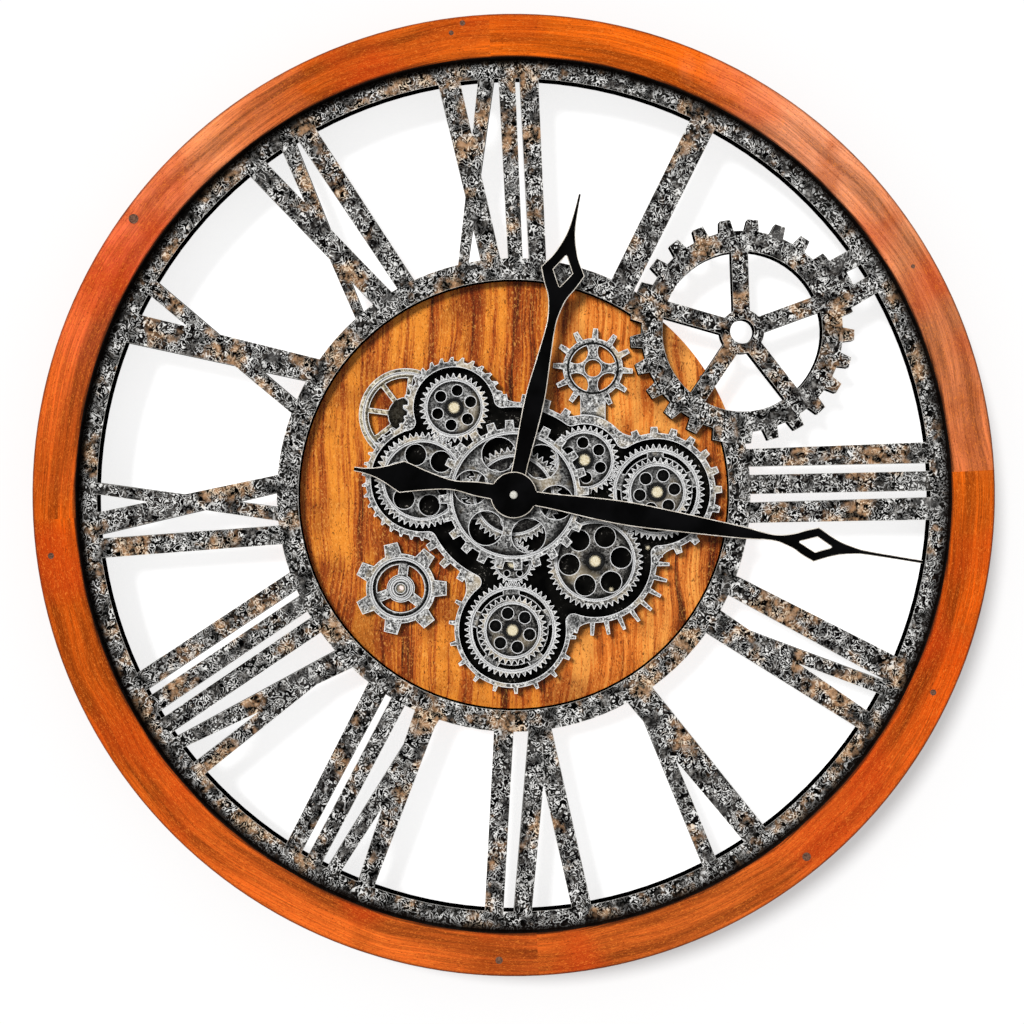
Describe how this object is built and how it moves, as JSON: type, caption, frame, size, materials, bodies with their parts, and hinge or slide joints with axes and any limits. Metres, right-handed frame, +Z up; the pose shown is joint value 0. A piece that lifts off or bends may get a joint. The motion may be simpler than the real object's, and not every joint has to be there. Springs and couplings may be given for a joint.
{
  "type": "wall clock",
  "caption": "Round wooden wall clock with cut-out Roman numerals, spade hands and open turning gears in a cogged surround.",
  "frame": {"origin": "on the hands' axis, half-way through the clock's depth, at the middle of its bounding box", "axes": "+Y from the dial towards the wall, +Z up through twelve, +X to the viewer's right through three"},
  "size_m": [0.596, 0.045, 0.596],
  "materials": {
    "rim_wood": "semi-gloss orange stain",
    "nail_iron": "dark, dull",
    "dial_board": "distressed black and silver paint on cut fibreboard",
    "screw_steel": "satin",
    "board_wood": "semi-gloss brown stain, upright grain",
    "black_plastic": "satin",
    "brass": "polished",
    "silver_plastic": "hammered silver with a black wash",
    "dark_steel": "satin",
    "hand_black": "satin black",
    "white_plastic": "natural",
    "gasket_rubber": "dull",
    "coil_copper": "enamelled wire",
    "circuit_green": "lacquered",
    "battery_skin": "printed film without words"
  },
  "bodies": {
    "clock_frame": {"rim_segment_upper_right": "rim_wood", "rim_segment_upper_left": "rim_wood", "rim_segment_lower_left": "rim_wood", "rim_segment_lower_right": "rim_wood", "rim_nails": "nail_iron", "dial_plate": "dial_board", "wood_screws": "screw_steel", "hanger_screws": "screw_steel", "hanger_plate": "screw_steel", "minute_wheel_pin": "screw_steel", "battery_contacts": "screw_steel", "drive_motor": "screw_steel", "bush_nut": "screw_steel", "centre_board_left": "board_wood", "centre_board_middle_left": "board_wood", "centre_board_middle_right": "board_wood", "centre_board_right": "board_wood", "gear_tray": "black_plastic", "movement_case": "black_plastic", "movement_cover": "black_plastic", "drive_case": "black_plastic", "drive_cover": "black_plastic", "drive_switch_body": "black_plastic", "gear_tray_screws": "brass", "gear_pins": "brass", "movement_bush": "brass", "cog_bezel": "silver_plastic", "flywheel": "silver_plastic", "corner_cog": "silver_plastic", "corner_cog_rivet": "dark_steel", "gear_pin_washers": "dark_steel", "movement_gasket": "gasket_rubber", "movement_coil": "coil_copper", "circuit_board": "circuit_green", "movement_battery": "battery_skin", "drive_battery": "battery_skin"},
    "centre_wheels": {"centre_gear": "silver_plastic", "centre_cog_wheel": "silver_plastic"},
    "upper_left_gear": {"upper_left_gear": "silver_plastic"},
    "left_gear": {"left_gear": "silver_plastic"},
    "upper_right_gear": {"upper_right_gear": "silver_plastic"},
    "right_gears": {"right_gear": "silver_plastic", "right_top_gear": "silver_plastic"},
    "lower_right_gear": {"lower_right_gear": "silver_plastic"},
    "idler_gear": {"idler_gear": "black_plastic"},
    "bottom_gears": {"bottom_gear": "silver_plastic", "bottom_top_gear": "silver_plastic", "bottom_gear_arbor": "brass", "bottom_gear_washer": "dark_steel", "drive_wheel": "white_plastic"},
    "motor_pinion": {"motor_pinion": "white_plastic"},
    "hour_hand": {"hour_hand": "hand_black", "hour_tube": "white_plastic"},
    "minute_hand": {"minute_hand": "hand_black", "minute_shaft": "screw_steel", "hand_cap_nut": "brass"},
    "minute_wheel": {"minute_wheel": "white_plastic"},
    "set_knob": {"set_knob": "white_plastic"},
    "drive_switch": {"drive_switch_slider": "black_plastic"}
  },
  "joints": [
    {"name": "centre_wheel_spin", "type": "hinge", "parent": "clock_frame", "child": "centre_wheels", "pos_m": [0, 0, 0], "axis": [0, 1, 0], "continuous": true},
    {"name": "upper_left_gear_spin", "type": "hinge", "parent": "clock_frame", "child": "upper_left_gear", "pos_m": [-0.03715, 0, 0.05439], "axis": [0, 1, 0], "continuous": true},
    {"name": "left_gear_spin", "type": "hinge", "parent": "clock_frame", "child": "left_gear", "pos_m": [-0.05684, 0, 0.00931], "axis": [0, 1, 0], "continuous": true},
    {"name": "upper_right_gear_spin", "type": "hinge", "parent": "clock_frame", "child": "upper_right_gear", "pos_m": [0.04411, 0, 0.0218], "axis": [0, 1, 0], "continuous": true},
    {"name": "right_gear_spin", "type": "hinge", "parent": "clock_frame", "child": "right_gears", "pos_m": [0.08905, 0, 0.00179], "axis": [0, 1, 0], "continuous": true},
    {"name": "lower_right_gear_spin", "type": "hinge", "parent": "clock_frame", "child": "lower_right_gear", "pos_m": [0.05074, 0, -0.04122], "axis": [0, 1, 0], "continuous": true},
    {"name": "idler_gear_spin", "type": "hinge", "parent": "clock_frame", "child": "idler_gear", "pos_m": [-0.00037, 0, -0.042], "axis": [0, 1, 0], "continuous": true},
    {"name": "bottom_gear_spin", "type": "hinge", "parent": "clock_frame", "child": "bottom_gears", "pos_m": [-0.00073, 0, -0.084], "axis": [0, 1, 0], "continuous": true},
    {"name": "motor_pinion_spin", "type": "hinge", "parent": "clock_frame", "child": "motor_pinion", "pos_m": [0.01101, 0, -0.07972], "axis": [0, 1, 0], "continuous": true},
    {"name": "minute_hand_turn", "type": "hinge", "parent": "clock_frame", "child": "minute_hand", "pos_m": [0, 0, 0], "axis": [0, 1, 0], "continuous": true},
    {"name": "hour_hand_turn", "type": "hinge", "parent": "clock_frame", "child": "hour_hand", "pos_m": [0, 0, 0], "axis": [0, 1, 0], "continuous": true},
    {"name": "minute_wheel_turn", "type": "hinge", "parent": "clock_frame", "child": "minute_wheel", "pos_m": [-0.00624, 0, 0.0036], "axis": [0, 1, 0], "continuous": true},
    {"name": "set_knob_turn", "type": "hinge", "parent": "clock_frame", "child": "set_knob", "pos_m": [-0.00624, 0, 0.0108], "axis": [0, 1, 0], "continuous": true},
    {"name": "drive_switch_slide", "type": "slide", "parent": "clock_frame", "child": "drive_switch", "axis": [1, 0, 0], "range_m": [0, 0.004]}
  ],
  "couplings": [
    {"joint": "upper_right_gear_spin", "follows": "centre_wheel_spin", "ratio": -1.4118},
    {"joint": "right_gear_spin", "follows": "centre_wheel_spin", "ratio": 1},
    {"joint": "lower_right_gear_spin", "follows": "centre_wheel_spin", "ratio": -1},
    {"joint": "left_gear_spin", "follows": "centre_wheel_spin", "ratio": -1},
    {"joint": "upper_left_gear_spin", "follows": "centre_wheel_spin", "ratio": 1.4118},
    {"joint": "idler_gear_spin", "follows": "centre_wheel_spin", "ratio": -2.1818},
    {"joint": "bottom_gear_spin", "follows": "centre_wheel_spin", "ratio": 1},
    {"joint": "motor_pinion_spin", "follows": "centre_wheel_spin", "ratio": -4},
    {"joint": "hour_hand_turn", "follows": "minute_hand_turn", "ratio": 0.083333},
    {"joint": "minute_wheel_turn", "follows": "minute_hand_turn", "ratio": -0.33333},
    {"joint": "set_knob_turn", "follows": "minute_hand_turn", "ratio": 1}
  ]
}
